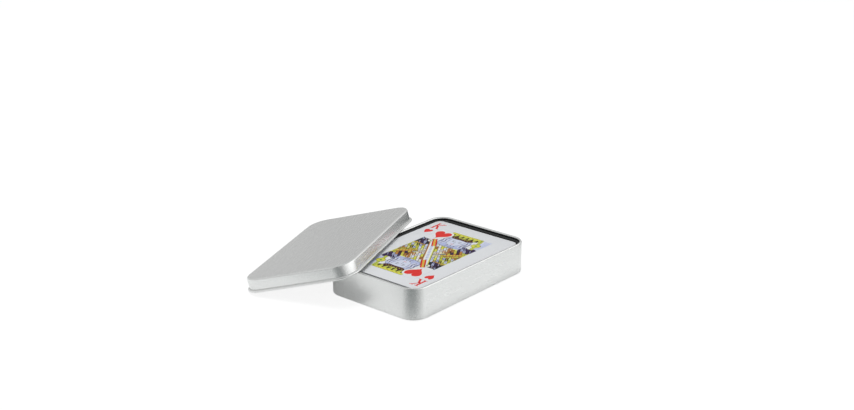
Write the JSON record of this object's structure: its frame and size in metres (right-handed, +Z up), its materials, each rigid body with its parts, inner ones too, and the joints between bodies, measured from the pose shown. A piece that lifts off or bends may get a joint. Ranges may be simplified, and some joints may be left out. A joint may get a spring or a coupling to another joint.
{
  "type": "slip-lid playing card tin",
  "caption": "Flat drawn tin with round corners, a loose slip-on lid leaning on its curled rim, and a deck of playing cards in a moulded tray.",
  "frame": {"origin": "centre of the tin's flat underside", "axes": "+X along the tin's long side, +Y across it towards the side that the lid leans on, +Z up"},
  "size_m": [0.1279, 0.1312, 0.0257],
  "materials": {
    "tinplate": "satin tinplate with a fine, soft lengthways grain",
    "tray_plastic": "black thermoformed sheet",
    "card_stock": "coated and calendered card stock"
  },
  "bodies": {
    "tin": {"tin_base": "tinplate", "liner_tray": "tray_plastic"},
    "deck": {"card_joker_first": "card_stock", "card_joker_second": "card_stock", "card_six_of_spades": "card_stock", "card_queen_of_clubs": "card_stock", "card_five_of_diamonds": "card_stock", "card_jack_of_spades": "card_stock", "card_four_of_hearts": "card_stock", "card_ten_of_diamonds": "card_stock", "card_three_of_clubs": "card_stock", "card_nine_of_hearts": "card_stock", "card_two_of_spades": "card_stock", "card_eight_of_clubs": "card_stock", "card_ace_of_diamonds": "card_stock", "card_seven_of_spades": "card_stock", "card_king_of_clubs": "card_stock", "card_six_of_diamonds": "card_stock", "card_queen_of_spades": "card_stock", "card_five_of_hearts": "card_stock", "card_jack_of_diamonds": "card_stock", "card_four_of_clubs": "card_stock", "card_ten_of_hearts": "card_stock", "card_three_of_spades": "card_stock", "card_nine_of_clubs": "card_stock", "card_two_of_diamonds": "card_stock", "card_eight_of_spades": "card_stock", "card_ace_of_hearts": "card_stock", "card_seven_of_diamonds": "card_stock", "card_king_of_spades": "card_stock", "card_six_of_hearts": "card_stock", "card_queen_of_diamonds": "card_stock", "card_five_of_clubs": "card_stock", "card_jack_of_hearts": "card_stock", "card_four_of_spades": "card_stock", "card_ten_of_clubs": "card_stock", "card_three_of_diamonds": "card_stock", "card_nine_of_spades": "card_stock", "card_two_of_hearts": "card_stock", "card_eight_of_diamonds": "card_stock", "card_ace_of_clubs": "card_stock", "card_seven_of_hearts": "card_stock", "card_king_of_diamonds": "card_stock", "card_six_of_clubs": "card_stock", "card_queen_of_hearts": "card_stock", "card_five_of_spades": "card_stock", "card_jack_of_clubs": "card_stock", "card_four_of_diamonds": "card_stock", "card_ten_of_spades": "card_stock", "card_three_of_hearts": "card_stock", "card_nine_of_diamonds": "card_stock", "card_two_of_clubs": "card_stock", "card_eight_of_hearts": "card_stock", "card_ace_of_spades": "card_stock", "card_seven_of_clubs": "card_stock"},
    "top_card": {"card_king_of_hearts": "card_stock"},
    "lid": {"lid": "tinplate"}
  },
  "joints": [
    {"name": "deck_lift", "type": "slide", "parent": "tin", "child": "deck", "axis": [0, 0, 1], "range_m": [0, 0.03]},
    {"name": "top_card_lift", "type": "slide", "parent": "deck", "child": "top_card", "axis": [0, 0, 1], "range_m": [0, 0.03]},
    {"name": "lid_lift", "type": "slide", "parent": "top_card", "child": "lid", "axis": [0, 0, 1], "range_m": [0, 0.06]}
  ]
}
